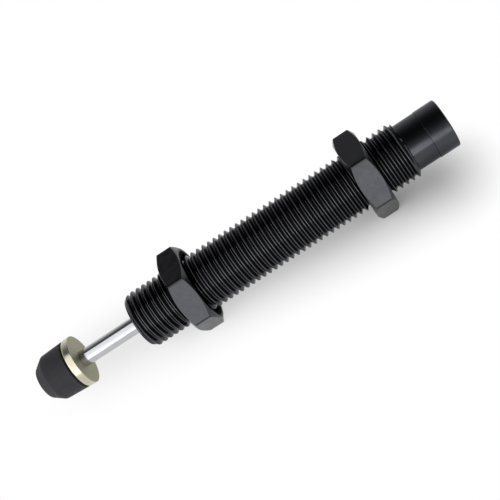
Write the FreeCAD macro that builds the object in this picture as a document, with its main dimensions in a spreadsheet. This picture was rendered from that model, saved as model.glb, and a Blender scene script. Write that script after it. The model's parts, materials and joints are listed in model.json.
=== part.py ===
"""Miniature hydraulic shock absorber with a threaded body, in millimetres.

The X axis is the axis of the rod. X = 0 is the front face of the body, the body runs towards +X,
and the rod with its bumper stands out towards -X. The lock nuts lie on a flat that faces -Z.
"""
import FreeCAD, Part
import math
import os
import re
import Sketcher

SIZES = {
    # outer body
    "body_length": 76.2,
    "thread_diameter": 13.74,
    "thread_root_diameter": 12.1,
    "thread_pitch": 1.5,
    "thread_crest": 0.19,
    "thread_groove_every": 2.0,
    "thread_chamfer": 1.1,
    "thread_runout": 0.6,
    "neck_length": 5.7,
    "neck_wall": 0.5,
    "bore_diameter": 10.4,
    # lock nuts
    "nut_flats": 18.6,
    "nut_thickness": 5.45,
    "nut_face_diameter": 18.3,
    "nut_corner_angle": 30.0,
    "nut_clearance": 0.05,
    "nut_bore_chamfer": 0.35,
    "front_nut_place": 11.15,
    "rear_nut_place": 57.9,
    # rear cap, its seal and the oil filling plug
    "rear_cap_step": 0.1,
    "rear_cap_head": 5.0,
    "rear_cap_chamfer": 0.3,
    "rear_cap_spigot": 8.2,
    "rear_cap_pilot": 2.0,
    "fill_bore_diameter": 1.4,
    "fill_thread_diameter": 3.0,
    "fill_thread_depth": 4.6,
    "fill_ball_diameter": 1.9,
    "fill_plug_recess": 0.3,
    "fill_plug_chamfer": 0.25,
    "fill_socket_flats": 1.5,
    "fill_socket_depth": 1.5,
    # static seals
    "seal_section": 1.4,
    "seal_flat": 0.65,
    "seal_groove_width": 1.6,
    "seal_groove_depth": 1.3,
    "rear_seal_place": 2.6,
    "bearing_seal_place": 3.8,
    # pressure tube
    "tube_bore_diameter": 7.2,
    "tube_wall": 0.9,
    "orifice_diameter": 0.8,
    "orifice_first": 11.0,
    "orifice_reach": 13.0,
    "orifice_ratio": 0.7,
    "orifice_count": 5.0,
    # retaining ring, gland, rod seals
    "retaining_ring_place": 0.6,
    "retaining_ring_width": 0.6,
    "retaining_ring_depth": 0.8,
    "retaining_groove_depth": 0.35,
    "retaining_ring_gap": 35.0,
    "gland_length": 3.4,
    "gland_mouth_diameter": 6.0,
    "gland_lip": 0.7,
    "spanner_hole_diameter": 0.9,
    "spanner_hole_depth": 1.2,
    "spanner_holes": 2.0,
    "spanner_hole_circle": 7.6,
    "seal_pocket_diameter": 7.2,
    "rod_seal_length": 2.6,
    "rod_seal_notch": 1.4,
    "rod_seal_notch_width": 0.6,
    "wiper_nose": 0.5,
    "wiper_lip": 0.3,
    "wiper_lip_length": 0.6,
    "wiper_relief": 0.4,
    # rod bearing and foam accumulator
    "bearing_head": 6.7,
    "bearing_sleeve_length": 13.2,
    "bearing_sleeve_diameter": 6.4,
    "bearing_collar": 1.4,
    "bearing_collar_clearance": 0.3,
    "bearing_pilot": 2.6,
    # rod, piston and spring
    "rod_diameter": 4.0,
    "rod_reach": 16.05,
    "piston_start_gap": 0.1,
    "piston_length": 4.8,
    "piston_stud_diameter": 2.2,
    "piston_stud_spare": 0.3,
    "piston_groove_place": 2.0,
    "piston_groove_width": 1.5,
    "piston_groove_diameter": 4.8,
    "piston_slot_width": 1.2,
    "piston_slot_depth": 0.5,
    "piston_return_depth": 1.1,
    "piston_slots": 3.0,
    "check_ring_width": 1.2,
    "check_ring_bore": 5.6,
    "piston_nut_flats": 3.8,
    "piston_nut_thickness": 1.4,
    "spring_seat_bore": 4.8,
    "spring_seat_clearance": 0.3,
    "spring_seat_thickness": 0.8,
    "spring_wire_width": 0.55,
    "spring_wire_depth": 0.7,
    "spring_mean_diameter": 5.6,
    "spring_turns": 9.0,
    # striker disc, its nut and the bumper cap
    "disc_diameter": 12.3,
    "disc_thickness": 2.0,
    "disc_edge": 0.15,
    "rod_stud_diameter": 3.0,
    "rod_stud_spare": 0.4,
    "disc_nut_diameter": 5.6,
    "disc_nut_thickness": 1.8,
    "cap_length": 8.45,
    "cap_gap": 0.3,
    "cap_foot_diameter": 10.6,
    "cap_rear_diameter": 12.1,
    "cap_shoulder_diameter": 11.5,
    "cap_face_diameter": 7.7,
    "cap_cone_length": 2.7,
    "cap_rounding": 0.6,
    # clearances
    "inner_gap": 0.1,
    "rod_clearance": 0.03,
    "piston_clearance": 0.05,
    "seat_clearance": 0.02,
    # how far a cutting shape runs past the surface that it cuts
    "cut_over": 1.0,
}

# places along the axis, from the front face of the body
GLAND = "retaining_ring_place + retaining_ring_width"
BEARING = GLAND + " + gland_length"
SLEEVE_END = BEARING + " + bearing_head + bearing_sleeve_length"
TUBE = SLEEVE_END + " + bearing_collar"
PISTON = TUBE + " + bearing_pilot + piston_start_gap"
SEAT = PISTON + " + piston_length + seat_clearance"
SPRING = SEAT + " + spring_seat_thickness"
REAR_CAP = "body_length"
THREAD_END = "body_length - neck_length"
TUBE_LENGTH = REAR_CAP + " - rear_cap_spigot - (" + TUBE + ")"
SPRING_LENGTH = REAR_CAP + " - rear_cap_spigot - rear_cap_pilot - (" + SPRING + ")"
DISC = "-rod_reach"

# the ball rests on a 45 degree seat, and the plug reaches from the ball almost to the rear face
FILL_SEAT = "rear_cap_head - fill_thread_depth"
FILL_BALL = FILL_SEAT + " - fill_thread_diameter / 2 + fill_ball_diameter / 2 * sqrt(2)"
FILL_PLUG = FILL_BALL + " + fill_ball_diameter / 2"
FILL_PLUG_LENGTH = "rear_cap_head - fill_plug_recess - (" + FILL_PLUG + ")"

# radii that several pieces share
BORE = "bore_diameter / 2"
HOUSED = "bore_diameter / 2 - seat_clearance"
NECK = "bore_diameter / 2 + neck_wall"
TUBE_BORE = "tube_bore_diameter / 2"
ROD = "rod_diameter / 2"
ROD_HOLE = "rod_diameter / 2 + rod_clearance"
POCKET = "seal_pocket_diameter / 2"
GROOVE = "bore_diameter / 2 - seal_groove_depth"

# how closely an edge has to lie to the place where it is looked for
NEAR = 1e-4

doc = FreeCAD.newDocument("shock_absorber")
sheet = doc.addObject("Spreadsheet::Sheet", "Sizes")
for row, (alias, value) in enumerate(SIZES.items(), start=1):
    sheet.set(f"A{row}", alias)
    sheet.set(f"B{row}", str(value))
    sheet.setAlias(f"B{row}", alias)
doc.recompute()

pieces = []


def bound(text):
    """The same formula with each size named as the sheet's."""
    return re.sub(r"[a-z_]+", lambda word: "Sizes." * (word[0] in SIZES) + word[0], text)


def new_body(label, place):
    """An empty body whose own X = 0 stands at a place along the axis."""
    body = doc.addObject("PartDesign::Body", label)
    body.Label = label
    body.setExpression("Placement.Base.x", bound(place))
    pieces.append(body)
    return body


def plane(body, role):
    """One of the body's own origin planes."""
    return next(f for f in body.Origin.OriginFeatures if f.Role == role)


def new_sketch(body, name, role, offset="0"):
    """An empty sketch on one of the body's origin planes, lifted off it by an offset."""
    sketch = body.newObject("Sketcher::SketchObject", name)
    sketch.AttachmentSupport = [(plane(body, role), "")]
    sketch.MapMode = "FlatFace"
    sketch.setExpression("AttachmentOffset.Base.z", bound(offset))
    return sketch


def add_loop(sketch, corners):
    """A closed loop of straight lines, each corner held by two formulas for its distances from the origin.

    The lines start as a regular polygon, and the formulas pull each corner to its place.
    """
    first = sketch.GeometryCount
    count = len(corners)
    ring = [
        FreeCAD.Vector(math.cos(2 * math.pi * i / count), math.sin(2 * math.pi * i / count), 0)
        for i in range(count)
    ]
    for i in range(count):
        sketch.addGeometry(Part.LineSegment(ring[i], ring[(i + 1) % count]), False)
    for i, (across, up) in enumerate(corners):
        line, following = first + i, first + (i + 1) % count
        sketch.addConstraint(Sketcher.Constraint("Coincident", line, 2, following, 1))
        for kind, start, formula in (("DistanceX", ring[i].x, across), ("DistanceY", ring[i].y, up)):
            number = sketch.addConstraint(Sketcher.Constraint(kind, -1, 1, line, 1, start))
            sketch.setExpression(f"Constraints[{number}]", bound(formula))


def add_circle(sketch, across, up, diameter):
    """A circle whose centre and diameter are held by formulas."""
    circle = sketch.addGeometry(Part.Circle(FreeCAD.Vector(1, 1, 0), FreeCAD.Vector(0, 0, 1), 1), False)
    for kind, formula in (("DistanceX", across), ("DistanceY", up)):
        number = sketch.addConstraint(Sketcher.Constraint(kind, -1, 1, circle, 3, 1))
        sketch.setExpression(f"Constraints[{number}]", bound(formula))
    number = sketch.addConstraint(Sketcher.Constraint("Diameter", circle, 2))
    sketch.setExpression(f"Constraints[{number}]", bound(diameter))


def spin(body, kind, name, loops, angle="360"):
    """Turns loops of (distance along the axis, radius) about the axis, as a Revolution or a Groove."""
    sketch = new_sketch(body, name + "_profile", "XY_Plane")
    for corners in loops:
        add_loop(sketch, corners)
    feature = body.newObject("PartDesign::" + kind, name)
    feature.Profile = sketch
    feature.ReferenceAxis = (sketch, ["H_Axis"])
    feature.setExpression("Angle", bound(angle))
    return feature


def turned(label, place, corners, angle="360"):
    """A piece turned on a lathe from one closed profile."""
    body = new_body(label, place)
    spin(body, "Revolution", label + "_turned", [corners], angle)
    return body


def bored(body, name, sketch, length=None, forward=True):
    """A Pocket along the sketch's normal, or against it, to a depth or through everything."""
    pocket = body.newObject("PartDesign::Pocket", name)
    pocket.Profile = sketch
    pocket.Reversed = forward
    if length is None:
        pocket.Type = 1
    else:
        pocket.setExpression("Length", bound(length))
    return pocket


def around(body, name, feature, sketch, count):
    """Repeats a feature evenly round the axis."""
    pattern = body.newObject("PartDesign::PolarPattern", name)
    pattern.Originals = [feature]
    pattern.Axis = (sketch, ["N_Axis"])
    pattern.Angle = 360
    pattern.setExpression("Occurrences", bound(count))
    body.Tip = pattern
    return pattern


def hexagon(flats):
    """Corners of a hexagon with two flats square to the second direction."""
    half, side, point = f"{flats} / 2", f"{flats} / 2 / sqrt(3)", f"{flats} / sqrt(3)"
    return [
        (point, "0"),
        (side, half),
        (f"0 - {side}", half),
        (f"0 - {point}", "0"),
        (f"0 - {side}", f"0 - {half}"),
        (side, f"0 - {half}"),
    ]


def along(body, name, feature, sketch, spacing, count):
    """Repeats a feature along the axis, a spacing apart."""
    pattern = body.newObject("PartDesign::LinearPattern", name)
    pattern.Originals = [feature]
    pattern.Direction = (sketch, ["H_Axis"])
    pattern.setExpression("Length", bound(f"{spacing} * ({count} - 1)"))
    pattern.setExpression("Occurrences", bound(count))
    body.Tip = pattern
    return pattern


def round_edges(body, name, radius, chosen):
    """A Fillet on the full circles that lie at the given (x, radius) pairs of the body's last solid."""
    doc.recompute()
    base = body.Tip
    names = []
    for x, r in chosen:
        for number, edge in enumerate(base.Shape.Edges, start=1):
            curve = edge.Curve
            if not isinstance(curve, Part.Circle):
                continue
            if abs(curve.Center.x - x) < NEAR and abs(curve.Radius - r) < NEAR:
                names.append(f"Edge{number}")
    fillet = body.newObject("PartDesign::Fillet", name)
    fillet.Base = (base, names)
    fillet.setExpression("Radius", bound(radius))
    return fillet


def make_outer_body():
    """The threaded tube with a smooth neck behind.

    Rings stand for the turns of the thread, and only every second one is cut, which keeps the faces few.
    """
    crest, root = "thread_diameter / 2", "thread_root_diameter / 2"
    body = turned("outer_body", "0", [
        ("0", BORE),
        ("0", root),
        ("thread_chamfer", crest),
        (THREAD_END, crest),
        (THREAD_END + " + thread_runout", NECK),
        ("body_length", NECK),
        ("body_length", BORE),
    ])
    groove_bottom = BORE + " + retaining_groove_depth"
    groove_start, groove_end = "retaining_ring_place", "retaining_ring_place + retaining_ring_width"
    spin(body, "Groove", "retaining_groove", [[
        (groove_start, "bore_diameter / 2 - retaining_groove_depth"),
        (groove_start, groove_bottom),
        (groove_end, groove_bottom),
        (groove_end, "bore_diameter / 2 - retaining_groove_depth"),
    ]])
    middle, half = "thread_chamfer + thread_pitch / 2", "(thread_pitch - thread_crest) / 2"
    spacing = "thread_pitch * thread_groove_every"
    count = f"floor(({THREAD_END} - thread_chamfer) / ({spacing}))"
    ring = spin(body, "Groove", "thread_groove", [[
        (middle, root),
        (f"{middle} + {half}", crest),
        (f"{middle} - {half}", crest),
    ]])
    along(body, "thread_grooves", ring, ring.Profile[0], spacing, count)


def make_lock_nut(label, place):
    """A hexagonal lock nut, chamfered on both faces, with a clear bore over the thread."""
    body = new_body(label, place)
    outline = new_sketch(body, label + "_outline", "YZ_Plane")
    add_loop(outline, hexagon("nut_flats"))
    pad = body.newObject("PartDesign::Pad", label + "_pad")
    pad.Profile = outline
    pad.setExpression("Length", bound("nut_thickness"))
    face, corner = "nut_face_diameter / 2", "nut_flats / sqrt(3) + cut_over"
    depth = f"({corner} - {face}) * tan(nut_corner_angle * 1 deg)"
    spin(body, "Groove", label + "_corners", [
        [("0", face), ("0", corner), (depth, corner)],
        [("nut_thickness", face), ("nut_thickness", corner), (f"nut_thickness - ({depth})", corner)],
    ])
    bore = "thread_diameter / 2 + nut_clearance"
    mouth = bore + " + nut_bore_chamfer"
    spin(body, "Groove", label + "_bore", [[
        ("0", "0"),
        ("0", mouth),
        ("nut_bore_chamfer", bore),
        ("nut_thickness - nut_bore_chamfer", bore),
        ("nut_thickness", mouth),
        ("nut_thickness", "0"),
    ]])


def make_ring_seal(label, groove_place, piece_place):
    """An O-ring that fills its groove: a round section pressed flat against the bore and the floor."""
    middle = f"{piece_place} + {groove_place} + seal_groove_width / 2"
    half, flat, bottom = "seal_section / 2", "seal_flat / 2", GROOVE
    low = f"({BORE} + {bottom}) / 2 - {flat}"
    high = f"({BORE} + {bottom}) / 2 + {flat}"
    turned(label, middle, [
        (f"0 - {flat}", bottom),
        (flat, bottom),
        (half, low),
        (half, high),
        (flat, BORE),
        (f"0 - {flat}", BORE),
        (f"0 - {half}", high),
        (f"0 - {half}", low),
    ])


def make_rear_cap():
    """The end plug: a head just proud of the neck, a spigot in the bore and a pilot in the tube."""
    head, hole, tapped = NECK + " + rear_cap_step", "fill_bore_diameter / 2", "fill_thread_diameter / 2"
    pilot = TUBE_BORE + " - seat_clearance"
    groove_start = "0 - rear_cap_spigot + rear_seal_place"
    groove_end = groove_start + " + seal_groove_width"
    turned("rear_cap", REAR_CAP, [
        ("0 - rear_cap_spigot - rear_cap_pilot", hole),
        ("0 - rear_cap_spigot - rear_cap_pilot", pilot),
        ("0 - rear_cap_spigot", pilot),
        ("0 - rear_cap_spigot", HOUSED),
        (groove_start, HOUSED),
        (groove_start, GROOVE),
        (groove_end, GROOVE),
        (groove_end, HOUSED),
        ("0", HOUSED),
        ("0", head),
        ("rear_cap_head - rear_cap_chamfer", head),
        ("rear_cap_head", head + " - rear_cap_chamfer"),
        ("rear_cap_head", tapped),
        (FILL_SEAT, tapped),
        (f"{FILL_SEAT} - ({tapped} - {hole})", hole),
    ])


def make_fill_plug():
    """The socket set screw that closes the oil filling bore."""
    radius = "fill_thread_diameter / 2 - seat_clearance"
    length = FILL_PLUG_LENGTH
    body = turned("fill_plug", f"{REAR_CAP} + {FILL_PLUG}", [
        ("0", "0"),
        ("0", radius + " - fill_plug_chamfer"),
        ("fill_plug_chamfer", radius),
        (length + " - fill_plug_chamfer", radius),
        (length, radius + " - fill_plug_chamfer"),
        (length, "0"),
    ])
    socket = new_sketch(body, "fill_socket_outline", "YZ_Plane", length)
    add_loop(socket, hexagon("fill_socket_flats"))
    bored(body, "fill_socket", socket, "fill_socket_depth", forward=False)


def make_fill_ball():
    """The steel ball that the plug presses into the conical seat."""
    ball = doc.addObject("Part::Sphere", "fill_ball")
    ball.Label = "fill_ball"
    ball.setExpression("Radius", bound("fill_ball_diameter / 2"))
    ball.setExpression("Placement.Base.x", bound(f"{REAR_CAP} + {FILL_BALL}"))
    pieces.append(ball)


def make_pressure_tube():
    """The inner cylinder, with metering orifices whose spacing shrinks towards the end of the stroke."""
    outside = TUBE_BORE + " + tube_wall"
    body = turned("pressure_tube", TUBE, [
        ("0", TUBE_BORE),
        ("0", outside),
        (TUBE_LENGTH, outside),
        (TUBE_LENGTH, TUBE_BORE),
    ])
    orifices = new_sketch(body, "orifice_circles", "XY_Plane")
    for step in range(round(SIZES["orifice_count"])):
        share = f"(1 - orifice_ratio ^ {step}) / (1 - orifice_ratio ^ (orifice_count - 1))"
        add_circle(orifices, f"orifice_first + orifice_reach * {share}", "0", "orifice_diameter")
    bored(body, "orifices", orifices)


def make_retaining_ring():
    """The spring ring that snaps into the groove at the body's mouth, open by a gap."""
    outer = BORE + " + retaining_groove_depth - seat_clearance"
    inner = outer + " - retaining_ring_depth"
    turned("retaining_ring", "retaining_ring_place", [
        ("0", inner),
        ("0", outer),
        ("retaining_ring_width", outer),
        ("retaining_ring_width", inner),
    ], angle="360 - retaining_ring_gap")


def make_gland():
    """The front bush behind the retaining ring, with spanner holes and a pocket for the wiper."""
    mouth = "gland_mouth_diameter / 2"
    body = turned("gland", GLAND, [
        ("0", mouth),
        ("0", HOUSED),
        ("gland_length", HOUSED),
        ("gland_length", POCKET),
        ("gland_lip", POCKET),
        ("gland_lip", mouth),
    ])
    hole = new_sketch(body, "spanner_hole_circle_sketch", "YZ_Plane")
    add_circle(hole, "spanner_hole_circle / 2", "0", "spanner_hole_diameter")
    pocket = bored(body, "spanner_hole", hole, "spanner_hole_depth")
    around(body, "spanner_holes", pocket, hole, "spanner_holes")


def make_rod_wiper():
    """The scraper ring, whose nose shows round the rod in the gland's mouth."""
    mouth = "gland_mouth_diameter / 2 - inner_gap"
    turned("rod_wiper", GLAND, [
        ("0 - wiper_nose", ROD_HOLE),
        ("0 - wiper_nose", ROD_HOLE + " + wiper_lip"),
        ("gland_lip", mouth),
        ("gland_lip", POCKET),
        ("gland_length", POCKET),
        ("gland_length", ROD_HOLE + " + wiper_relief"),
        ("gland_lip + wiper_lip_length", ROD_HOLE + " + wiper_relief"),
        ("wiper_lip_length - wiper_nose", ROD_HOLE),
    ])


def make_rod_seal():
    """The lip seal round the rod, open towards the oil."""
    notch, half = "rod_seal_length - rod_seal_notch", "rod_seal_notch_width / 2"
    middle = f"({ROD_HOLE} + {POCKET}) / 2"
    turned("rod_seal", BEARING, [
        ("0", ROD_HOLE),
        ("0", POCKET),
        ("rod_seal_length", POCKET),
        ("rod_seal_length", f"{middle} + {half}"),
        (notch, middle),
        ("rod_seal_length", f"{middle} - {half}"),
        ("rod_seal_length", ROD_HOLE),
    ])


def make_rod_bearing():
    """The long bronze guide: a sealed head, a sleeve inside the foam, a collar and a pilot in the tube."""
    sleeve, collar = "bearing_sleeve_diameter / 2", BORE + " - bearing_collar_clearance"
    pilot = TUBE_BORE + " - seat_clearance"
    sleeve_end = "bearing_head + bearing_sleeve_length"
    collar_end = sleeve_end + " + bearing_collar"
    groove_end = "bearing_seal_place + seal_groove_width"
    turned("rod_bearing", BEARING, [
        ("0", POCKET),
        ("0", HOUSED),
        ("bearing_seal_place", HOUSED),
        ("bearing_seal_place", GROOVE),
        (groove_end, GROOVE),
        (groove_end, HOUSED),
        ("bearing_head", HOUSED),
        ("bearing_head", sleeve),
        (sleeve_end, sleeve),
        (sleeve_end, collar),
        (collar_end, collar),
        (collar_end, pilot),
        (collar_end + " + bearing_pilot", pilot),
        (collar_end + " + bearing_pilot", ROD_HOLE),
        ("rod_seal_length + inner_gap", ROD_HOLE),
        ("rod_seal_length + inner_gap", POCKET),
    ])


def make_foam_accumulator():
    """The closed-cell foam sleeve that gives way to the oil which the rod displaces."""
    inner = "bearing_sleeve_diameter / 2 + inner_gap"
    outer = BORE + " - inner_gap"
    length = "bearing_sleeve_length - 2 * inner_gap"
    turned("foam_accumulator", BEARING + " + bearing_head + inner_gap", [
        ("0", inner),
        ("0", outer),
        (length, outer),
        (length, inner),
    ])


def make_piston_rod():
    """The ground rod, with a stud for the disc in front and a stud for the piston behind."""
    front, rear = "rod_stud_diameter / 2", "piston_stud_diameter / 2"
    shoulder = f"rod_reach + {PISTON}"
    front_stud = "disc_thickness + disc_nut_thickness + rod_stud_spare"
    rear_stud = f"{shoulder} + piston_length + piston_nut_thickness + piston_stud_spare"
    turned("piston_rod", DISC, [
        (f"0 - ({front_stud})", "0"),
        (f"0 - ({front_stud})", front),
        ("0", front),
        ("0", ROD),
        (shoulder, ROD),
        (shoulder, rear),
        (rear_stud, rear),
        (rear_stud, "0"),
    ])


def make_piston():
    """The piston, grooved for the check ring, with slots behind it for the returning oil."""
    outside = TUBE_BORE + " - piston_clearance"
    floor, hole = "piston_groove_diameter / 2", "piston_stud_diameter / 2"
    groove_end = "piston_groove_place + piston_groove_width"
    body = turned("piston", PISTON, [
        ("0", hole),
        ("0", outside),
        ("piston_groove_place", outside),
        ("piston_groove_place", floor),
        (groove_end, floor),
        (groove_end, outside),
        ("piston_length", outside),
        ("piston_length", hole),
    ])
    rear_land = f"piston_length - ({groove_end})"
    for name, start, depth, length in (
        ("front_slot", "0", "piston_slot_depth", "piston_groove_place"),
        ("rear_slot", groove_end, "piston_return_depth", rear_land),
    ):
        outline = new_sketch(body, name + "_outline", "YZ_Plane", start)
        half, bottom, top = "piston_slot_width / 2", f"{outside} - {depth}", outside + " + cut_over"
        add_loop(outline, [(f"0 - {half}", bottom), (half, bottom), (half, top), (f"0 - {half}", top)])
        pocket = bored(body, name, outline, length)
        around(body, name + "s", pocket, outline, "piston_slots")


def make_check_ring():
    """The ring that floats in the piston's groove: it shuts on the way in and opens on the way out."""
    outer = TUBE_BORE + " - rod_clearance"
    inner = "check_ring_bore / 2"
    rear_gap = "piston_groove_width - check_ring_width - seat_clearance"
    turned("check_ring", f"{PISTON} + piston_groove_place + {rear_gap}", [
        ("0", inner),
        ("0", outer),
        ("check_ring_width", outer),
        ("check_ring_width", inner),
    ])


def make_piston_nut():
    """The small nut that holds the piston on its stud."""
    body = new_body("piston_nut", PISTON + " + piston_length")
    outline = new_sketch(body, "piston_nut_outline", "YZ_Plane")
    add_loop(outline, hexagon("piston_nut_flats"))
    add_circle(outline, "0", "0", "piston_stud_diameter")
    pad = body.newObject("PartDesign::Pad", "piston_nut_pad")
    pad.Profile = outline
    pad.setExpression("Length", bound("piston_nut_thickness"))


def make_spring_seat():
    """The ring between the piston and the spring, which lets the rod turn under the spring."""
    inner, outer = "spring_seat_bore / 2", TUBE_BORE + " - spring_seat_clearance"
    turned("spring_seat", SEAT, [
        ("0", inner),
        ("0", outer),
        ("spring_seat_thickness", outer),
        ("spring_seat_thickness", inner),
    ])


def make_return_spring():
    """The coil spring that pushes the rod out again, wound from flat wire and ground flat on both ends."""
    inner = "(spring_mean_diameter - spring_wire_depth) / 2"
    outer = "(spring_mean_diameter + spring_wire_depth) / 2"
    half = "spring_wire_width / 2"
    body = new_body("return_spring", SPRING)
    section = new_sketch(body, "spring_wire_section", "XY_Plane")
    add_loop(section, [(f"0 - {half}", inner), (half, inner), (half, outer), (f"0 - {half}", outer)])
    coil = body.newObject("PartDesign::AdditiveHelix", "spring_coil")
    coil.Profile = section
    coil.ReferenceAxis = (section, ["H_Axis"])
    coil.Mode = "height-turns-angle"
    coil.setExpression("Height", bound(SPRING_LENGTH))
    coil.setExpression("Turns", bound("spring_turns"))
    over = "spring_mean_diameter"
    end = SPRING_LENGTH
    spin(body, "Groove", "spring_ground_ends", [
        [("0 - spring_wire_width", "0"), ("0 - spring_wire_width", over), ("0", over), ("0", "0")],
        [(end, "0"), (end, over), (f"{end} + spring_wire_width", over), (f"{end} + spring_wire_width", "0")],
    ])


def make_striker_disc():
    """The plated disc on the rod's end, with its edges just broken."""
    outer, hole = "disc_diameter / 2", "rod_stud_diameter / 2"
    turned("striker_disc", DISC, [
        ("0 - disc_thickness", hole),
        ("0 - disc_thickness", outer + " - disc_edge"),
        ("0 - disc_thickness + disc_edge", outer),
        ("0 - disc_edge", outer),
        ("0", outer + " - disc_edge"),
        ("0", hole),
    ])


def make_disc_nut():
    """The round nut that clamps the disc and carries the bumper cap."""
    outer, hole = "disc_nut_diameter / 2", "rod_stud_diameter / 2"
    turned("disc_nut", DISC + " - disc_thickness", [
        ("0 - disc_nut_thickness", hole),
        ("0 - disc_nut_thickness", outer),
        ("0", outer),
        ("0", hole),
    ])


def make_bumper_cap():
    """The urethane cap: a shallow foot, a side that widens towards the disc, a cone and a flat face."""
    foot, rear = "cap_foot_diameter / 2", "cap_rear_diameter / 2"
    shoulder, face = "cap_shoulder_diameter / 2", "cap_face_diameter / 2"
    front = "0 - cap_gap - cap_length"
    hollow, nut = "rod_stud_diameter / 2 + inner_gap", "disc_nut_diameter / 2"
    hollow_end = "0 - disc_nut_thickness - rod_stud_spare - inner_gap"
    body = turned("bumper_cap", DISC + " - disc_thickness", [
        (front, "0"),
        (front, face),
        (front + " + cap_cone_length", shoulder),
        ("0 - cap_gap", rear),
        ("0 - cap_gap", foot),
        ("0", foot),
        ("0", nut),
        ("0 - disc_nut_thickness", nut),
        ("0 - disc_nut_thickness", hollow),
        (hollow_end, hollow),
        (hollow_end, "0"),
    ])
    length = sheet.get("cap_gap") + sheet.get("cap_length")
    round_edges(body, "cap_edges", "cap_rounding", [
        (-length, sheet.get("cap_face_diameter") / 2),
        (sheet.get("cap_cone_length") - length, sheet.get("cap_shoulder_diameter") / 2),
    ])


def check_document():
    """Stops if an object failed or a sub-part has no sound solid."""
    doc.recompute()
    for item in doc.Objects:
        if "Invalid" in item.State or "Error" in item.State:
            raise RuntimeError(f"{item.Label} failed: {item.State}")
        if item.TypeId in ("PartDesign::Pocket", "PartDesign::Groove"):
            if item.Shape.Volume >= item.BaseFeature.Shape.Volume:
                raise RuntimeError(f"{item.Label} cuts nothing")
    for piece in pieces:
        if piece.Shape.isNull() or not piece.Shape.isValid() or not piece.Shape.Solids:
            raise RuntimeError(f"{piece.Label} has no sound solid")


make_outer_body()
make_lock_nut("front_nut", "front_nut_place")
make_lock_nut("rear_nut", "rear_nut_place")
make_rear_cap()
make_ring_seal("rear_cap_seal", "rear_seal_place", REAR_CAP + " - rear_cap_spigot")
make_fill_plug()
make_fill_ball()
make_pressure_tube()
make_retaining_ring()
make_gland()
make_rod_wiper()
make_rod_seal()
make_rod_bearing()
make_ring_seal("bearing_seal", "bearing_seal_place", BEARING)
make_foam_accumulator()
make_piston_rod()
make_piston()
make_check_ring()
make_piston_nut()
make_spring_seat()
make_return_spring()
make_striker_disc()
make_disc_nut()
make_bumper_cap()
check_document()

os.makedirs("parts", exist_ok=True)
for piece in pieces:
    piece.Shape.exportStep(f"parts/{piece.Label}.step")
print(len(pieces), "pieces")
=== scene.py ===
"""Looks of the hydraulic shock absorber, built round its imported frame. Lengths are in metres.

The X axis is the rod's axis, and angles about it run from +Y towards +Z.
"""

import json
import math

import bmesh
import bpy
from mathutils import Matrix, Vector


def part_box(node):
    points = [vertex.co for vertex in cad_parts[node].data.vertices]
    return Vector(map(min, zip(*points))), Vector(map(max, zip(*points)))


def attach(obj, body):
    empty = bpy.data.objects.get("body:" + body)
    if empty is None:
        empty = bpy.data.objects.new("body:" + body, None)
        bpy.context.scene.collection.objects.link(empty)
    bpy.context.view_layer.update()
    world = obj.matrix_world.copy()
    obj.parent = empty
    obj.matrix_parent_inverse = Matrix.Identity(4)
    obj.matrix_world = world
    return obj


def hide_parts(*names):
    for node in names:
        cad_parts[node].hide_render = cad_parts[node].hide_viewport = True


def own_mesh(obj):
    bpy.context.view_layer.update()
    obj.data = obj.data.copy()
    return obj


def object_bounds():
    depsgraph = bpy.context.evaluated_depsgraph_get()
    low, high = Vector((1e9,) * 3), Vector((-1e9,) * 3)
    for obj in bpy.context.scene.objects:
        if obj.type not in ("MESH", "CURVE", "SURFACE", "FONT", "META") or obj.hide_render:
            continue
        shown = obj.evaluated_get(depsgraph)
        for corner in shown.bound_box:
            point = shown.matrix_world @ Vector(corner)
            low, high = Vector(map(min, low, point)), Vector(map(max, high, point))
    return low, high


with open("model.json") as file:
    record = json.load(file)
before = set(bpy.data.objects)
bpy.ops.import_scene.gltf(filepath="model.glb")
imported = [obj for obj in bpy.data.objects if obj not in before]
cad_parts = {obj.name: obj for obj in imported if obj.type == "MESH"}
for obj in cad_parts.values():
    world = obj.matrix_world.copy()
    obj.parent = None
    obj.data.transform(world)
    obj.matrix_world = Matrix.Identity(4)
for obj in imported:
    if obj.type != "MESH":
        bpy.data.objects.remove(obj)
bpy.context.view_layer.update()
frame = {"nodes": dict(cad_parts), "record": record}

MM = 0.001
TURN = 2 * math.pi
SIXTH = TURN / 6

# the screw thread, M14 x 1.5, right-handed: radii of its crest and root, and the X of a crest at +Y
PITCH = 1.5 * MM
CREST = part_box("outer_body")[1].z
ROOT = 6.05 * MM
THREAD_PHASE = 0.392 * MM
# share of the pitch on each side of a crest, and share of the thread's depth there
THREAD_FLANK = (
    (0.03, 0.0), (0.065, 0.04), (0.155, 0.29), (0.245, 0.54), (0.335, 0.79), (0.42, 0.965), (0.5, 1.0),
)

# lengths of the body's front chamfer, of the thread's run-out, and of the neck with that run-out
CHAMFER = 1.1 * MM
RUNOUT = 0.6 * MM
NECK_LENGTH = 5.7 * MM
# radii of the neck and the bore, and the broken edges at the neck's end and the bore's mouth
NECK = 5.7 * MM
BORE = 5.2 * MM
REAR_EDGE = 0.05 * MM
MOUTH_EDGE = 0.12 * MM
# the retaining ring's groove: where it starts and ends, and the radius of its floor
RING_GROOVE = (0.6 * MM, 1.2 * MM, 5.55 * MM)

# lock nuts: width across flats, and distance from the axis to a corner
NUT_FLATS = 2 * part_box("front_nut")[1].z
NUT_TIP = NUT_FLATS / 2 / math.cos(SIXTH / 2)
# radii of the ring faces and of the bore's chamfered mouth, and the slope of the corners' chamfer
NUT_FACE = 9.15 * MM
NUT_MOUTH = 7.55 * MM
NUT_SLOPE = math.tan(math.radians(30))
# roundings of the hexagon's corners and of the other edges
NUT_CORNER = 0.22 * MM
NUT_EDGE = 0.1 * MM
# room round the body's thread, and the smallest radius of the nut's own
NUT_CLEARANCE = 0.05 * MM
NUT_SMALLEST = 6.2 * MM

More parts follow.
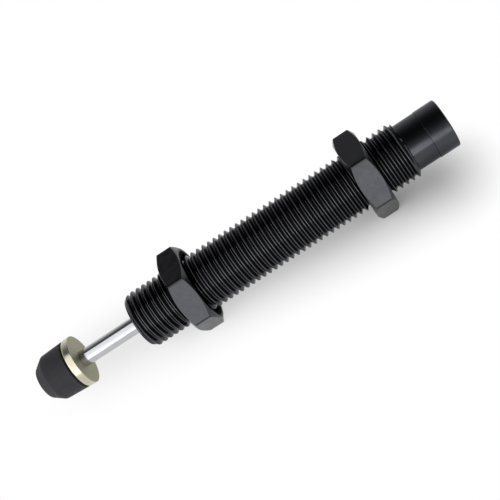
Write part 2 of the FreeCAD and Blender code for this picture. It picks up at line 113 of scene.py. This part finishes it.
# meshes: columns round the axis, the angle of a sharp edge, and how close welded points are
COLUMNS = 96
SHARP = math.radians(32)
MERGE = 2e-7
# how far beyond an arc its guard point lies, and the most of a straight run that either takes
GUARD = 0.04 * MM
ARC_SHARE = 0.48
GUARD_SHARE = 0.49

# the range that a noise's values lie in, that of two noises' sum, and the octaves of every noise
NOISE_LOW, NOISE_HIGH = 0.3, 0.7
SUM_LOW, SUM_HIGH = 0.7, 1.3
OCTAVES = 4.0

# the darker and the lighter shade of each mottled finish, and the plain colours laid over them
THREAD_SHADES = ((0.042, 0.043, 0.048), (0.055, 0.056, 0.062))
NECK_SHADES = ((0.051, 0.053, 0.06), (0.066, 0.068, 0.077))
CREST_COLOUR = (0.083, 0.084, 0.091, 1)
NUT_SHADES = ((0.056, 0.057, 0.0635), (0.0665, 0.0672, 0.0738))
NUT_CORNER_COLOUR = (0.029, 0.03, 0.033, 1)
REAR_CAP_SHADES = ((0.056, 0.058, 0.066), (0.068, 0.07, 0.079))
CHROME_SHADES = ((0.47, 0.475, 0.5), (0.52, 0.525, 0.55))
DISC_RIM_SHADES = ((0.52, 0.491, 0.387), (0.578, 0.549, 0.44))
# painted shade: the disc's faces darker than its rim, for the shadowed floor that they mirror
DISC_FACE_PAINTED_SHADE = (0.348, 0.337, 0.242, 1)
URETHANE_SHADES = ((0.0214, 0.0206, 0.0234), (0.028, 0.0271, 0.0306))

# roughness of the body's neck and thread, and of the disc's rim and faces
NECK_ROUGHNESS, THREAD_ROUGHNESS = 0.16, 0.18
DISC_RIM_ROUGHNESS, DISC_FACE_ROUGHNESS = 0.2, 0.48
# the X of the normal where the disc's rim ends and where its face begins
DISC_TURN = (0.5, 0.9)

# how much of its full mirror a blackened surface keeps where it turns away, and a nut's ring face by the
# thread, as painted shade
BODY_RIM = 0.7
NUT_RIM = 0.85
RING_SHADE_RIM = 0.1
# distances from the axis between which the crests' lighter colour, a corner's black and a ring face's
# painted shade change
CREST_LIGHTER = (CREST - 0.09 * MM, CREST - 0.01 * MM)
CORNER_BLACKENED = (NUT_TIP - 0.21 * MM, NUT_TIP - 0.12 * MM)
RING_PAINTED_SHADE = (8.2 * MM, NUT_FLATS / 2)

# finishes by slot of the CAD nodes that stay: the two shades, the roughness and, inside, the metallic part
BLACK_FINISHES = {
    "fill_plug_steel": (((0.05, 0.05, 0.052), (0.07, 0.07, 0.073)), 0.35),
    "ring_steel": (((0.09, 0.09, 0.095), (0.14, 0.14, 0.145)), 0.4),
}
INNER_FINISHES = {
    "bearing_steel": (((0.72, 0.72, 0.73), (0.78, 0.78, 0.79)), 0.12, 1.0),
    "inner_steel": (((0.5, 0.5, 0.51), (0.6, 0.6, 0.61)), 0.3, 1.0),
    "gland_steel": (((0.46, 0.46, 0.46), (0.56, 0.56, 0.56)), 0.32, 1.0),
    "bronze": (((0.56, 0.4, 0.19), (0.68, 0.5, 0.25)), 0.3, 1.0),
    "seal_rubber": (((0.02, 0.02, 0.021), (0.035, 0.035, 0.036)), 0.6, 0.0),
    "foam": (((0.14, 0.14, 0.15), (0.22, 0.22, 0.23)), 0.9, 0.0),
}

# the photograph's view: angles, distance and focal length, and the point that the camera looks at
ELEVATION = math.radians(43.65)
TURNED = math.radians(7.79)
ROLL = math.radians(33.1)
DISTANCE = 220.0 * MM
CLIP_START = 10 * MM
FOCAL_PIXELS = 985.0
IMAGE_PIXELS = 500
SENSOR_MM = 36.0
AIM_X = 30.07 * MM
AIM_ACROSS = -0.04 * MM

# directions: along the axis, towards a camera square to it, and across the axis in its picture
ALONG = Vector((1, 0, 0))
TOWARDS = Vector((0, -math.cos(ELEVATION), math.sin(ELEVATION)))
ACROSS = Vector((0, -math.sin(ELEVATION), -math.cos(ELEVATION)))
# the camera's own back and side directions, and its aim
BACK = math.cos(TURNED) * TOWARDS + math.sin(TURNED) * ALONG
SIDE = math.cos(TURNED) * ALONG - math.sin(TURNED) * TOWARDS
AIM = AIM_X * ALONG + AIM_ACROSS * ACROSS

# the key light, a long softbox at the front left, whose upper edge climbs towards the bumper:
# its centre, the direction behind it, that of its long edges, its size and its radiance
KEY_CENTRE = (-0.0558, -0.2461, 0.0678)
KEY_BACK = (-0.62, -0.55, 0.56)
KEY_EDGE = (-0.434, 0.829, 0.353)
KEY_SIZE = (0.63, 0.341)
KEY_RADIANCE = 1.4

# radiance of the studio by the sine of the height above the horizon
SKY = ((0.0, 1.0), (0.3, 0.8), (0.5, 0.6), (0.66, 0.35), (0.76, 0.225), (0.88, 0.1), (1.0, 0.04))
# a dark card, a strip across the sky: the X of its direction, how far from there it fades, and its glow
CARD_PLACE = -0.17
CARD_EDGES = (0.05, 0.13)
CARD_GLOW = 0.2
# the heights between which the card begins, well above the horizon, so that low views don't show it
CARD_FOOT = (0.26, 0.33)

# the floor: half its width, and the grey and the roughness of its paper
FLOOR_HALF = 1.5
FLOOR_GREY = 0.85
FLOOR_ROUGHNESS = 0.9
# share of white glow in the floor, lowered under the object as a painted shade: under the object's two ends,
# and in the open
GLOW_UNDER_FRONT = 0.8
GLOW_UNDER_REAR = 0.0
GLOW_OPEN = 1.0
# how far the painted shade under the object reaches, and the Y of its middle under the object's two ends
SHADE_REACH = 19 * MM
SHADE_MIDDLE_FRONT = 8 * MM
SHADE_MIDDLE_REAR = -5 * MM


# shapes

def phase_of(x, angle):
    """How many turns of the thread lie between its start and a point at that angle."""
    return (x - THREAD_PHASE) / PITCH - angle / TURN


def thread_radius(phase):
    """Radius of the thread's surface, by its distance from the nearest crest in pitches."""
    away = abs(phase - round(phase))
    stations = ((0.0, 0.0),) + THREAD_FLANK
    for (near, low), (far, high) in zip(stations, stations[1:]):
        if away <= far:
            share = low + (high - low) * (away - near) / (far - near)
            return CREST - (CREST - ROOT) * share
    return ROOT


def helix_rows(angles, x_low, x_high, radius_at):
    """Rows that follow the thread's crests, flanks and roots, cut off square at both ends."""
    steps = sorted([away for away, _ in THREAD_FLANK] + [1 - away for away, _ in THREAD_FLANK[:-1]])
    first = math.floor(phase_of(x_low, TURN)) - 1
    last = math.ceil(phase_of(x_high, 0)) + 1
    rows = []
    for turn in range(first, last + 1):
        for step in steps:
            row = []
            for angle in angles:
                x = THREAD_PHASE + PITCH * (turn + step + angle / TURN)
                x = min(max(x, x_low), x_high)
                row.append((x, radius_at(x, angle)))
            rows.append(row)
    return rows


def rounded(corners, radii, steps=3):
    """A polyline of (x, r) with an arc at each inner corner, and a guard point beyond each end of the arc.

    The guard points keep the shading of the straight runs true up to their ends.
    """
    line = [corners[0]]
    for before, corner, after, radius in zip(corners, corners[1:], corners[2:], radii):
        tip = Vector(corner)
        to_before, to_after = Vector(before) - tip, Vector(after) - tip
        half = to_before.angle(to_after) / 2
        reach = min(radius / math.tan(half), ARC_SHARE * to_before.length, ARC_SHARE * to_after.length)
        back, onward = to_before.normalized(), to_after.normalized()
        centre = tip + (back + onward).normalized() * (reach / math.cos(half))
        start, end = tip + back * reach - centre, tip + onward * reach - centre
        whole = start.angle(end)
        line.append(tuple(tip + back * min(reach + GUARD, GUARD_SHARE * to_before.length)))
        for i in range(steps + 1):
            share = i / steps
            spoke = (start * math.sin((1 - share) * whole) + end * math.sin(share * whole)) / math.sin(whole)
            line.append(tuple(centre + spoke))
        line.append(tuple(tip + onward * min(reach + GUARD, GUARD_SHARE * to_after.length)))
    line.append(corners[-1])
    return line


def plain_rows(angles, line):
    """Rows of a turned surface: each point of the line goes all the way round."""
    return [[point] * len(angles) for point in line]


def evenly(count):
    """Angles once round, the first and the last the same place."""
    return [TURN * i / count for i in range(count + 1)]


def welded(name, verts, faces):
    """A mesh whose coincident points are joined and whose faces are turned outwards."""
    mesh = bpy.data.meshes.new(name)
    mesh.from_pydata(verts, [], faces)
    bm = bmesh.new()
    bm.from_mesh(mesh)
    bmesh.ops.remove_doubles(bm, verts=bm.verts, dist=MERGE)
    bmesh.ops.recalc_face_normals(bm, faces=bm.faces)
    bm.to_mesh(mesh)
    bm.free()
    return mesh


def surface(name, angles, rows, closed):
    """A mesh of rows round the X axis. A closed one joins its last row to its first."""
    verts = [
        (x, r * math.cos(angle), r * math.sin(angle))
        for row in rows
        for angle, (x, r) in zip(angles, row)
    ]
    width = len(angles)
    starts = [width * i for i in range(len(rows))]
    pairs = list(zip(starts, starts[1:]))
    if closed:
        pairs.append((starts[-1], starts[0]))
    faces = [
        (this + i, this + i + 1, other + i + 1, other + i)
        for this, other in pairs
        for i in range(width - 1)
    ]
    return welded(name, verts, faces)


def turned(name, line):
    """A turned mesh from a profile that starts and ends on the axis, or closes on itself."""
    angles = evenly(COLUMNS)
    return surface(name, angles, plain_rows(angles, line), closed=line[0][1] > 0)


def link(name, mesh, body, material, node):
    """Makes a piece of a mesh: it rides on a body, takes its material and hides the CAD node that it stands
    for.
    """
    mesh.shade_smooth()
    mesh.set_sharp_from_angle(angle=SHARP)
    piece = bpy.data.objects.new(name, mesh)
    bpy.context.scene.collection.objects.link(piece)
    piece.data.materials.append(material)
    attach(piece, body)
    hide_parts(node)
    return piece


# nodes of materials

def adder(tree):
    """A helper that adds a node to a tree, with its settings, and sets or joins its inputs."""

    def add(kind, inputs=None, **settings):
        node = tree.nodes.new(kind)
        for key, value in settings.items():
            setattr(node, key, value)
        for key, value in (inputs or {}).items():
            if isinstance(value, bpy.types.NodeSocket):
                tree.links.new(value, node.inputs[key])
            else:
                node.inputs[key].default_value = value
        return node

    return add


def new_material(name):
    """A material with its shader, a helper that adds nodes and one that feeds the shader."""
    material = bpy.data.materials.new(name)
    material.use_nodes = True
    tree = material.node_tree
    shader = tree.nodes["Principled BSDF"]

    def feed(socket, value):
        tree.links.new(value, shader.inputs[socket])

    return material, shader, adder(tree), feed


def fix(shader, constants):
    """Sets constants on the shader's own sockets."""
    for socket, value in constants.items():
        shader.inputs[socket].default_value = value


def maths(add, operation, first, second=0.0):
    """The result of an operation on two values, or on the first alone."""
    return add("ShaderNodeMath", {0: first, 1: second}, operation=operation).outputs[0]


def grain(add, scale, stretch=(1, 1, 1)):
    """Noise in the piece's own space, its space scaled along the axes."""
    coords = add("ShaderNodeTexCoord")
    mapping = add("ShaderNodeMapping", {"Vector": coords.outputs["Object"], "Scale": stretch})
    noise = add("ShaderNodeTexNoise", {
        "Vector": mapping.outputs["Vector"], "Scale": scale, "Detail": OCTAVES,
    })
    return noise.outputs["Fac"]


def ranged(add, value, low, high, from_low=NOISE_LOW, from_high=NOISE_HIGH, smooth=False):
    """A value brought from one range to another."""
    node = add("ShaderNodeMapRange", {
        "Value": value, "From Min": from_low, "From Max": from_high, "To Min": low, "To Max": high,
    }, interpolation_type="SMOOTHSTEP" if smooth else "LINEAR")
    return node.outputs["Result"]


def share_of(add, value, start, end):
    """How far a value has come from a start to an end, from 0 to 1."""
    return ranged(add, value, 0, 1, start, end)


def uneven(add, rough, wander, scale):
    """A roughness that wanders with a noise, by so much up and down."""
    return ranged(add, grain(add, scale), rough - wander, rough + wander)


def ramp(add, value, *stops):
    """Colours at places along a value."""
    node = add("ShaderNodeValToRGB", {"Fac": value})
    elements = node.color_ramp.elements
    while len(elements) < len(stops):
        elements.new(0.5)
    for element, (place, colour) in zip(elements, stops):
        element.position = place
        element.color = (*colour, 1)
    return node.outputs["Color"]


def mottled(add, noise, shades):
    """A colour that wanders between two shades with a noise."""
    dark, light = shades
    return ramp(add, noise, (NOISE_LOW, dark), (NOISE_HIGH, light))


def blend(add, share, one, other):
    """One colour turning into another as the share grows."""
    node = add("ShaderNodeMix", {"Factor": share}, data_type="RGBA")
    for name, colour in (("A", one), ("B", other)):
        socket = next(s for s in node.inputs if s.name == name and s.type == "RGBA")
        if isinstance(colour, bpy.types.NodeSocket):
            node.id_data.links.new(colour, socket)
        else:
            socket.default_value = colour
    return next(s for s in node.outputs if s.type == "RGBA")


def bump(add, height, strength, distance):
    """A normal from a height."""
    node = add("ShaderNodeBump", {"Height": height, "Strength": strength, "Distance": distance})
    return node.outputs["Normal"]


def radius_of(add):
    """Distance from the X axis, in metres."""
    coords = add("ShaderNodeTexCoord")
    flat = add("ShaderNodeVectorMath", {0: coords.outputs["Object"], 1: (0, 1, 1)}, operation="MULTIPLY")
    length = add("ShaderNodeVectorMath", {0: flat.outputs["Vector"]}, operation="LENGTH")
    return length.outputs["Value"]


# materials

def black_metal(name, shades, rough, rim, nut=False):
    """Blackened steel: a dark reflecting metal with uneven sheen and a fine grain, dull at its rim.

    A nut's corners are a deeper black, and the inner parts of its ring faces keep less mirror, a painted
    shade next to the thread.
    """
    material, shader, add, feed = new_material(name)
    fix(shader, {"Metallic": 1.0})
    dark, light = shades
    patches = maths(add, "ADD", grain(add, scale=260), grain(add, scale=2200))
    colour = ramp(add, share_of(add, patches, SUM_LOW, SUM_HIGH), (0.0, dark), (1.0, light))
    if nut:
        radius = radius_of(add)
        colour = blend(add, share_of(add, radius, *CORNER_BLACKENED), colour, NUT_CORNER_COLOUR)
        # painted shade: the ring faces mirror less towards the thread, where the body meets the nut
        outer = share_of(add, radius, *RING_PAINTED_SHADE)
        feed("Specular Tint", ramp(add, outer, (0.0, (RING_SHADE_RIM,) * 3), (1.0, (rim,) * 3)))
    else:
        fix(shader, {"Specular Tint": (rim, rim, rim, 1)})
    feed("Base Color", colour)
    feed("Roughness", uneven(add, rough, wander=0.05, scale=700))
    feed("Normal", bump(add, grain(add, scale=9000), strength=0.12, distance=0.02 * MM))
    return material


def thread_steel():
    """The body: blackened and smoother on its neck, its crests a little lighter."""
    material, shader, add, feed = new_material("thread_steel")
    fix(shader, {"Metallic": 1.0, "Specular Tint": (BODY_RIM, BODY_RIM, BODY_RIM, 1)})
    cloud, radius = grain(add, scale=300), radius_of(add)
    threaded = share_of(add, radius, NECK, ROOT)
    # the crests take a lighter colour
    crest = share_of(add, radius, *CREST_LIGHTER)
    colour = blend(add, threaded, mottled(add, cloud, NECK_SHADES), mottled(add, cloud, THREAD_SHADES))
    feed("Base Color", blend(add, crest, colour, CREST_COLOUR))
    rough = ranged(add, threaded, NECK_ROUGHNESS, THREAD_ROUGHNESS, 0, 1)
    feed("Roughness", maths(add, "ADD", uneven(add, 0, wander=0.03, scale=900), rough))
    feed("Normal", bump(add, grain(add, scale=9000), strength=0.08, distance=0.02 * MM))
    return material


def chrome():
    """The rod: hard chrome, ground round."""
    material, shader, add, feed = new_material("rod_chrome")
    fix(shader, {"Metallic": 1.0})
    lines = grain(add, scale=6000, stretch=(1, 0.02, 0.02))
    feed("Base Color", mottled(add, grain(add, scale=400), CHROME_SHADES))
    feed("Roughness", ranged(add, lines, low=0.1, high=0.18))
    feed("Normal", bump(add, lines, strength=0.05, distance=0.01 * MM))
    return material


def nickel():
    """The disc: warm satin plating with faint turning lines, its faces duller than its rim, and darker as a
    painted shade of the shadowed floor that they mirror.
    """
    material, shader, add, feed = new_material("disc_nickel")
    fix(shader, {"Metallic": 1.0})
    outwards = add("ShaderNodeCombineXYZ", {"X": radius_of(add)})
    lines = add("ShaderNodeTexWave", {
        "Vector": outwards.outputs["Vector"], "Scale": 2500.0, "Distortion": 1.0,
    })
    normal = add("ShaderNodeSeparateXYZ", {0: add("ShaderNodeTexCoord").outputs["Normal"]})
    on_face = share_of(add, maths(add, "ABSOLUTE", normal.outputs["X"]), *DISC_TURN)
    rim_colour = mottled(add, grain(add, scale=350), DISC_RIM_SHADES)
    # painted shade: the faces take a darker colour than the rim
    feed("Base Color", blend(add, on_face, rim_colour, DISC_FACE_PAINTED_SHADE))
    rough = ranged(add, on_face, DISC_RIM_ROUGHNESS, DISC_FACE_ROUGHNESS, 0, 1)
    feed("Roughness", maths(add, "ADD", uneven(add, 0.04, wander=0.04, scale=1500), rough))
    feed("Normal", bump(add, lines.outputs["Fac"], strength=0.06, distance=0.01 * MM))
    return material


def urethane():
    """The cap: matt dark urethane with a moulded grain."""
    material, shader, add, feed = new_material("cap_urethane")
    fix(shader, {"Specular IOR Level": 0.2, "Sheen Weight": 0.04, "Sheen Roughness": 0.5})
    feed("Base Color", mottled(add, grain(add, scale=220), URETHANE_SHADES))
    feed("Roughness", uneven(add, 0.68, wander=0.06, scale=1200))
    feed("Normal", bump(add, grain(add, scale=7000), strength=0.15, distance=0.02 * MM))
    return material


def inner(name, shades, rough, metallic):
    """An inner piece: turned metal, rubber or foam with a light grain."""
    material, shader, add, feed = new_material(name)
    fix(shader, {"Metallic": metallic})
    feed("Base Color", mottled(add, grain(add, scale=500), shades))
    feed("Roughness", uneven(add, rough, wander=0.06, scale=1500))
    feed("Normal", bump(add, grain(add, scale=5000), strength=0.1, distance=0.02 * MM))
    return material


BODY_STEEL = thread_steel()
NUT_STEEL = black_metal("nut_steel", NUT_SHADES, rough=0.25, rim=NUT_RIM, nut=True)
REAR_CAP_BLACK = black_metal("rear_cap_black", REAR_CAP_SHADES, rough=0.19, rim=BODY_RIM)
CHROME = chrome()
NICKEL = nickel()
URETHANE = urethane()
SLOT_MATERIALS = {slot: inner(slot, *finish) for slot, finish in INNER_FINISHES.items()}
for slot, finish in BLACK_FINISHES.items():
    SLOT_MATERIALS[slot] = black_metal(slot, *finish, rim=NUT_RIM)


# pieces

def make_body():
    """The threaded body: front face and chamfer, the helical thread, its run-out, the neck and the bore."""
    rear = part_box("outer_body")[1].x
    thread_end = rear - NECK_LENGTH
    angles = evenly(COLUMNS)

    def radius_at(x, angle):
        front = ROOT + (CREST - ROOT) * x / CHAMFER
        fade = CREST - (CREST - NECK) * (x - thread_end) / RUNOUT
        return min(thread_radius(phase_of(x, angle)), front, max(fade, NECK))

    rows = helix_rows(angles, 0.0, thread_end + RUNOUT, radius_at)
    start, end, floor = RING_GROOVE
    rows += plain_rows(angles, [
        (rear - REAR_EDGE, NECK),
        (rear, NECK - REAR_EDGE),
        (rear, BORE),
        (end, BORE),
        (end, floor),
        (start, floor),
        (start, BORE),
        (MOUTH_EDGE, BORE),
        (0.0, BORE + MOUTH_EDGE),
    ])
    mesh = surface("threaded_body", angles, rows, closed=True)
    link("threaded_body", mesh, "body", BODY_STEEL, "outer_body")


def hexagon_outline():
    """(angle, radius) once round the hexagon from its corner at +Y, with rounded corners."""
    flat = NUT_FLATS / 2
    centre = (flat - NUT_CORNER) / math.cos(SIXTH / 2)
    reach = centre * math.sin(SIXTH / 2)
    arc_steps, side_steps = 4, 10
    points = []
    for corner in range(6):
        for i in range(arc_steps + 1):
            turn = SIXTH * (i / arc_steps - 0.5)
            spot = Vector((centre, 0)) + NUT_CORNER * Vector((math.cos(turn), math.sin(turn)))
            points.append((SIXTH * corner + math.atan2(spot.y, spot.x), spot.length))
        for i in range(1, side_steps):
            along = reach - 2 * reach * i / side_steps
            points.append((SIXTH * (corner + 0.5) - math.atan2(along, flat), math.hypot(along, flat)))
    middle = arc_steps // 2
    points = points[middle:] + [(angle + TURN, r) for angle, r in points[:middle]]
    return points + [(TURN, points[0][1])]


def make_nut(name):
    """A chamfered hexagonal nut with an internal thread that runs on the body's."""
    low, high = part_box(name)
    outline = hexagon_outline()
    angles = [angle for angle, _ in outline]
    lines = []
    for _, r in outline:
        drop = (r - NUT_FACE) * NUT_SLOPE
        corners = [
            (low.x, NUT_MOUTH),
            (low.x, NUT_FACE),
            (low.x + drop, r),
            (high.x - drop, r),
            (high.x, NUT_FACE),
            (high.x, NUT_MOUTH),
        ]
        lines.append(rounded(corners, [NUT_EDGE] * 4))
    rows = [list(row) for row in zip(*lines)]

    def radius_at(x, angle):
        thread = max(thread_radius(phase_of(x, angle)) + NUT_CLEARANCE, NUT_SMALLEST)
        return max(thread, NUT_MOUTH - (x - low.x), NUT_MOUTH - (high.x - x))

    rows += reversed(helix_rows(angles, low.x, high.x, radius_at))
    mesh = surface(name + "_threaded", angles, rows, closed=True)
    link(name + "_threaded", mesh, name, NUT_STEEL, name)


def make_rear_cap():
    """The smooth rear end with broken edges, its spigot inside the body and its pilot inside the tube."""
    low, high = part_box("rear_cap")
    hole, pilot, spigot, head = 1.5 * MM, 3.58 * MM, 5.18 * MM, high.z
    pilot_length, gap, edge, rear_edge = 2 * MM, 0.02 * MM, 0.05 * MM, 0.32 * MM
    shoulder = low.x + pilot_length
    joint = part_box("outer_body")[1].x + gap
    line = rounded([
        (low.x, hole),
        (low.x, pilot),
        (shoulder, pilot),
        (shoulder, spigot),
        (joint, spigot),
        (joint, head),
        (high.x, head),
        (high.x, hole),
    ], [edge] * 5 + [rear_edge])
    mesh = turned("rear_cap_smooth", line)
    link("rear_cap_smooth", mesh, "body", REAR_CAP_BLACK, "rear_cap")


def make_rod():
    """The chromed rod with both its studs."""
    low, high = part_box("piston_rod")
    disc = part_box("striker_disc")[1].x
    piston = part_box("piston")[0].x
    rod, front, rear = 2.0 * MM, 1.5 * MM, 1.1 * MM
    tip, crease, edge, chamfer = 0.2 * MM, 0.02 * MM, 0.05 * MM, 0.15 * MM
    line = rounded([
        (low.x, 0.0),
        (low.x, front),
        (disc, front),
        (disc, rod),
        (piston, rod),
        (piston, rear),
        (high.x, rear),
        (high.x, 0.0),
    ], [tip, crease, edge, chamfer, edge, tip])
    mesh = turned("chromed_rod", line)
    link("chromed_rod", mesh, "rod", CHROME, "piston_rod")


def make_disc():
    """The plated disc with broken edges."""
    low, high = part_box("striker_disc")
    hole, front_edge, rear_edge = 1.5 * MM, 0.45 * MM, 0.16 * MM
    line = rounded([
        (low.x, hole),
        (low.x, high.z),
        (high.x, high.z),
        (high.x, hole),
    ], [front_edge, rear_edge], steps=5)
    mesh = turned("plated_disc", line)
    link("plated_disc", mesh, "rod", NICKEL, "striker_disc")


def make_bumper():
    """The moulded cap: foot, widening side, cone and flat face, with soft edges, and the nut's socket."""
    low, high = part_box("bumper_cap")
    cone, gap, depth = 2.7 * MM, 0.3 * MM, 1.8 * MM
    shoulder, widest, socket = low.x + cone, high.x - gap, high.x - depth
    face, waist, wide, foot, nut = 3.85 * MM, 5.75 * MM, 6.05 * MM, 5.3 * MM, 2.8 * MM
    face_edge, waist_edge, wide_edge, edge = 0.7 * MM, 0.9 * MM, 0.18 * MM, 0.05 * MM
    line = rounded([
        (low.x, 0.0),
        (low.x, face),
        (shoulder, waist),
        (widest, wide),
        (widest, foot),
        (high.x, foot),
        (high.x, nut),
        (socket, nut),
        (socket, 0.0),
    ], [face_edge, waist_edge, wide_edge] + [edge] * 4, steps=6)
    mesh = turned("urethane_bumper", line)
    link("urethane_bumper", mesh, "rod", URETHANE, "bumper_cap")


def make_spring():
    """The return spring: flat wire in nine turns, both ends ground flat."""
    low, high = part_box("return_spring")
    turns, steps = 9, 28
    mean, half_width, half_depth, edge = 2.8 * MM, 0.275 * MM, 0.35 * MM, 0.12 * MM
    section = rounded([
        (0.0, half_depth),
        (half_width, half_depth),
        (half_width, -half_depth),
        (-half_width, -half_depth),
        (-half_width, half_depth),
        (0.0, half_depth),
    ], [edge] * 4, steps=2)[:-1]
    verts, faces = [], []
    count = turns * steps
    for i in range(count + 1):
        angle = TURN * i / steps
        middle = low.x + (high.x - low.x) * i / count
        for along, out in section:
            x = min(max(middle + along, low.x), high.x)
            verts.append((x, (mean + out) * math.cos(angle), (mean + out) * math.sin(angle)))
    width = len(section)
    for i in range(count):
        for k in range(width):
            here, beside = i * width + k, i * width + (k + 1) % width
            faces.append((here, beside, beside + width, here + width))
    faces.append(tuple(range(width)))
    faces.append(tuple(range(count * width, (count + 1) * width)))
    mesh = welded("coil_spring", verts, faces)
    spring = link("coil_spring", mesh, "body", SLOT_MATERIALS["inner_steel"], "return_spring")
    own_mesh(spring)


def finish_cad_nodes():
    """Gives each CAD node that stays its material."""
    slots = {s["node"]: s["material_slot"] for s in frame["record"]["subparts"]}
    for name, node in frame["nodes"].items():
        if slots[name] in SLOT_MATERIALS:
            node.data.materials.clear()
            node.data.materials.append(SLOT_MATERIALS[slots[name]])


# camera, light, floor and studio

def stand(obj, location, right, up, back):
    """Puts a camera or a lamp somewhere, looking against its back direction."""
    matrix = Matrix((right, up, back)).transposed().to_4x4()
    matrix.translation = location
    obj.matrix_world = matrix


def make_camera():
    """The photograph's view: seen from above and a little behind, turned so that the axis runs uphill."""
    camera = bpy.data.objects.new("camera", bpy.data.cameras.new("camera"))
    camera.data.sensor_width = SENSOR_MM
    camera.data.lens = FOCAL_PIXELS * SENSOR_MM / IMAGE_PIXELS
    camera.data.clip_start = CLIP_START
    right = math.cos(ROLL) * SIDE + math.sin(ROLL) * ACROSS
    up = math.sin(ROLL) * SIDE - math.cos(ROLL) * ACROSS
    stand(camera, AIM + DISTANCE * BACK, right, up, BACK)
    bpy.context.scene.collection.objects.link(camera)
    bpy.context.scene.camera = camera


def softbox(name, centre, back, along, width, height, radiance):
    """A rectangular soft light, its width along one direction. Its radiance is what a mirror would show."""
    light = bpy.data.lights.new(name, "AREA")
    light.shape = "RECTANGLE"
    light.size, light.size_y = width, height
    light.energy = radiance * math.pi * width * height
    lamp = bpy.data.objects.new(name, light)
    bpy.context.scene.collection.objects.link(lamp)
    back = Vector(back).normalized()
    right = Vector(along)
    right = (right - right.dot(back) * back).normalized()
    stand(lamp, Vector(centre), right, back.cross(right), back)


def floor_glow(add, low, high):
    """The floor's share of white glow, lowered as a painted shade where the object, which spans low to high,
    stands over it.
    """
    coords = add("ShaderNodeTexCoord")
    parts = add("ShaderNodeSeparateXYZ", {0: coords.outputs["Object"]})
    x, y = parts.outputs["X"], parts.outputs["Y"]
    # painted shade: less glow under the object, least under its rear end
    under = ranged(add, x, GLOW_UNDER_FRONT, GLOW_UNDER_REAR, low.x, high.x)
    middle = ranged(add, x, SHADE_MIDDLE_FRONT, SHADE_MIDDLE_REAR, low.x, high.x)
    beyond = maths(add, "ABSOLUTE", maths(add, "SUBTRACT", x, (low.x + high.x) / 2))
    beyond = maths(add, "MAXIMUM", maths(add, "SUBTRACT", beyond, (high.x - low.x) / 2 - SHADE_REACH / 2), 0)
    away = add("ShaderNodeCombineXYZ", {"X": beyond, "Y": maths(add, "SUBTRACT", y, middle)})
    away = add("ShaderNodeVectorMath", {0: away.outputs[0]}, operation="LENGTH")
    return ranged(add, away.outputs["Value"], under, GLOW_OPEN, 0.0, SHADE_REACH, smooth=True)


def make_floor():
    """A plain white floor under the nuts. It glows to the camera and in mirrors, less under the object as a
    painted shade, and takes the shadow.
    """
    low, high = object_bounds()
    corners = [(-1, -1), (1, -1), (1, 1), (-1, 1)]
    mesh = bpy.data.meshes.new("floor")
    mesh.from_pydata([(FLOOR_HALF * x, FLOOR_HALF * y, low.z) for x, y in corners], [], [(0, 1, 2, 3)])
    floor = bpy.data.objects.new("floor", mesh)
    bpy.context.scene.collection.objects.link(floor)
    material, shader, add, _ = new_material("floor_paper")
    fix(shader, {
        "Base Color": (FLOOR_GREY, FLOOR_GREY, FLOOR_GREY, 1),
        "Roughness": FLOOR_ROUGHNESS,
        "Specular IOR Level": 0.0,
    })
    path = add("ShaderNodeLightPath")
    seen = maths(add, "MAXIMUM", path.outputs["Is Camera Ray"], path.outputs["Is Glossy Ray"])
    seen = maths(add, "MAXIMUM", seen, path.outputs["Is Transmission Ray"])
    share = maths(add, "MULTIPLY", seen, floor_glow(add, low, high))
    glow = add("ShaderNodeEmission", {"Color": (1, 1, 1, 1), "Strength": 1.0})
    mix = add("ShaderNodeMixShader", {0: share, 1: shader.outputs[0], 2: glow.outputs[0]})
    tree = material.node_tree
    tree.links.new(mix.outputs[0], tree.nodes["Material Output"].inputs["Surface"])
    mesh.materials.append(material)


def make_world():
    """A studio: white at the horizon all round, dark high up, with the dark card."""
    world = bpy.data.worlds.new("studio")
    bpy.context.scene.world = world
    world.use_nodes = True
    tree = world.node_tree
    add = adder(tree)
    parts = add("ShaderNodeSeparateXYZ", {0: add("ShaderNodeTexCoord").outputs["Generated"]})
    x, height = parts.outputs["X"], parts.outputs["Z"]
    sky = ramp(add, height, *((place, (grey,) * 3) for place, grey in SKY))
    from_card = maths(add, "ABSOLUTE", maths(add, "SUBTRACT", x, CARD_PLACE))
    card = ranged(add, height, 1.0, CARD_GLOW, *CARD_FOOT, smooth=True)
    glow = ranged(add, from_card, card, 1.0, *CARD_EDGES, smooth=True)
    background = tree.nodes["Background"]
    tree.links.new(sky, background.inputs["Color"])
    tree.links.new(glow, background.inputs["Strength"])


make_body()
make_nut("front_nut")
make_nut("rear_nut")
make_rear_cap()
make_rod()
make_disc()
make_bumper()
make_spring()
finish_cad_nodes()

make_camera()
make_floor()
make_world()
softbox("key", KEY_CENTRE, KEY_BACK, KEY_EDGE, *KEY_SIZE, KEY_RADIANCE)

bpy.context.scene.view_settings.view_transform = "Standard"
